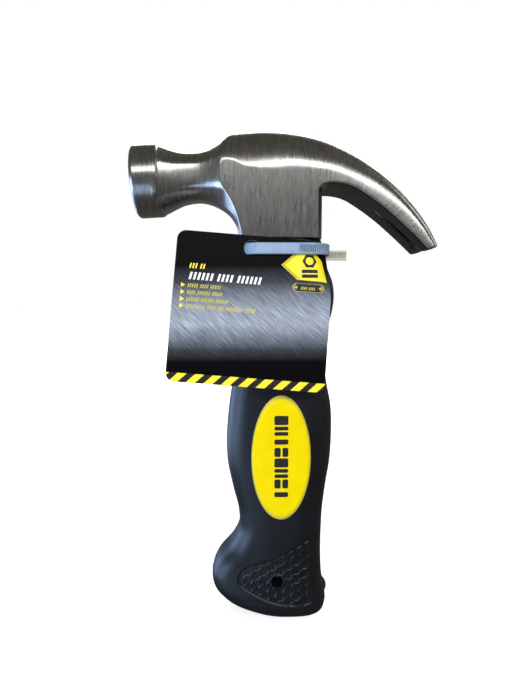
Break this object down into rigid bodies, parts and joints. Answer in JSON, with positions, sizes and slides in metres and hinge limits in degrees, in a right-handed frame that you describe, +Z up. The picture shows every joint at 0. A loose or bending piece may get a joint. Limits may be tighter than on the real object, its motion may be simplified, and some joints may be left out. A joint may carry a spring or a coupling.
{
  "type": "claw hammer",
  "caption": "Stubby claw hammer with a forged head, curved claw, moulded waisted grip with oval inlays, and a printed hang tag on a cable tie.",
  "frame": {"origin": "where the handle's axis meets the flat of the butt", "axes": "+Z up the handle to the head, -X towards the striking face, +X towards the claw, -Y towards the side that the tag hangs on"},
  "size_m": [0.1065, 0.038, 0.1746],
  "materials": {
    "forged_steel": "brushed across the claw, clear lacquered",
    "magnet": "nickel plated",
    "core": "pultruded fibreglass",
    "bond": "cast epoxy",
    "grip_rubber": "satin moulded rubber",
    "inlay": "satin moulded inlay",
    "card": "laminated printed card",
    "nylon": "natural nylon, finely ribbed"
  },
  "bodies": {
    "hammer": {"head": "forged_steel", "starter_magnet": "magnet", "handle_core": "core", "eye_bond": "bond", "grip": "grip_rubber", "badge_front": "inlay", "badge_back": "inlay", "cable_tie": "nylon"},
    "tag": {"hang_tag": "card"}
  },
  "joints": [
    {"name": "tag_swing", "type": "hinge", "parent": "hammer", "child": "tag", "pos_m": [-0.0099, -0.01301, 0.1332], "axis": [0, -0.9877, 0.1564], "range_deg": [-4, 2.5]}
  ]
}
